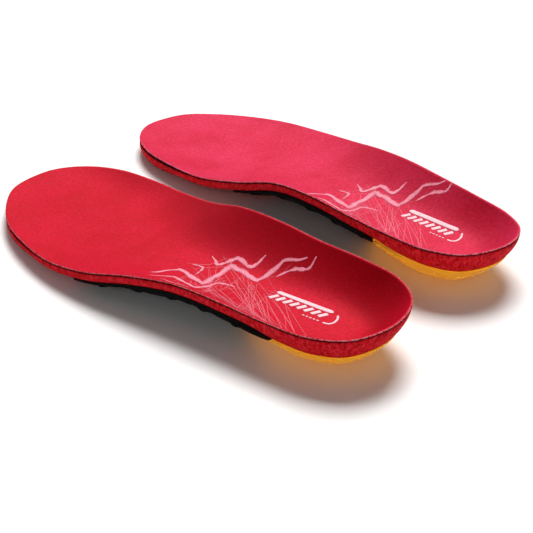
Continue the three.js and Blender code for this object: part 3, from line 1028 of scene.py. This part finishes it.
# the cloth's flat size before moulding: its longest run across, its run from heel to toe, and its area
def flatSize(rings):
    area = 0
    for a, b in zip(rings, rings[1:]):
        nextA, nextB = (np.roll(row, -1, axis=0) for row in (a, b))
        area += np.linalg.norm(np.cross(nextA - a, b - a), axis=1).sum() / 2
        area += np.linalg.norm(np.cross(nextB - nextA, nextB - b), axis=1).sum() / 2
    stack = np.array(rings)
    down = np.linalg.norm(np.diff(stack, axis=0), axis=2).sum(axis=0)
    heel, toe = 0, count // 2
    run = down[heel] + down[toe] + np.hypot(*(stack[0, toe] - stack[0, heel])[:2])
    wide = (down + down[(-np.arange(count)) % count])[body].max()
    return wide * mm, run * mm, area * mm * mm


def build(place):
    side = place["side"]
    parts = {"cloth": makeCover(place), "backing": makeBacking(place), "foam": makeFoam(place),
             "shell": makeShell(place), "gel": makePad(place), "fibre": makeFringe(place)}
    for key, piece in parts.items():
        piece.data.materials.clear()
        piece.data.materials.append(finishes[side + "Cloth" if key == "cloth" else key])
    for key in ("cloth", "backing", "foam", "fibre"):
        blendForefoot(parts[key], place)
    for key in ("shell", "gel"):
        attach(parts[key], side + "_insole")
    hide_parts(side + "_cover_rear", side + "_cover_front")
    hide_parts(side + "_backing_rear", side + "_backing_front")
    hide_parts(side + "_foam_rear", side + "_foam_front")
    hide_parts(side + "_arch_shell")
    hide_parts(side + "_heel_pad")
    top = coverTopRings(side)
    wide, run, area = flatSize(top)
    prints = makePrint(place, heightMap(top))
    print(side, "cloth flat size:", round(wide, 4), round(run, 4), "area", round(area, 5))
    prints + [parts["fibre"]]


for place in places.values():
    build(place)
    print(place["side"], "insole made")

studio = {
    "floorSize": 6, "world": 0.16, "worldColour": (1, 1, 1),
    # name, where it stands, what it points at, size, watts, colour
    "lamps": [
        ("back softbox", (-0.95, 1.35, 2.6), (0.0, 0.0, 0.0), 1.5, 132, (1, 1, 1)),
        ("front fill", (2.3, -3.6, 1.9), (0.0, 0.0, 0.0), 2.6, 26, (1, 1, 1)),
    ],
}


def makeFloor():
    bpy.ops.object.select_all(action="DESELECT")
    bpy.ops.mesh.primitive_plane_add(size=studio["floorSize"])
    floor = bpy.context.object
    floor.name = "studio_floor"
    floor.data.materials.append(paleFloor())


def makeLamps():
    world = bpy.data.worlds.new("studio air")
    world.use_nodes = True
    world.node_tree.nodes["Background"].inputs["Color"].default_value = (*studio["worldColour"], 1)
    world.node_tree.nodes["Background"].inputs["Strength"].default_value = studio["world"]
    bpy.context.scene.world = world
    for name, at, to, size, watts, colour in studio["lamps"]:
        lamp = bpy.data.lights.new(name, "AREA")
        lamp.size, lamp.energy, lamp.color = size, watts, colour
        stand = bpy.data.objects.new(name, lamp)
        stand.location = at
        stand.rotation_euler = (Vector(to) - Vector(at)).to_track_quat("-Z", "Y").to_euler()
        bpy.context.scene.collection.objects.link(stand)


eye = {"azimuth": 45.58, "elevation": 30.17, "distance": 0.7421, "target": (0.0289, -0.0192, 0.0),
       "lens": 91.9, "sensor": 36, "clip": (0.01, 50)}


def makeCamera():
    a, e = math.radians(eye["azimuth"]), math.radians(eye["elevation"])
    back = Vector((math.sin(a) * math.cos(e), -math.cos(a) * math.cos(e), math.sin(e)))
    lens = bpy.data.cameras.new("camera")
    lens.lens, lens.sensor_width = eye["lens"], eye["sensor"]
    lens.clip_start, lens.clip_end = eye["clip"]
    camera = bpy.data.objects.new("camera", lens)
    camera.location = Vector(eye["target"]) + back * eye["distance"]
    camera.rotation_mode = "QUATERNION"
    camera.rotation_quaternion = (-back).to_track_quat("-Z", "Y")
    bpy.context.scene.collection.objects.link(camera)
    bpy.context.scene.camera = camera


makeFloor()
makeLamps()
makeCamera()
bpy.context.scene.view_settings.view_transform = "Standard"
print("studio made")
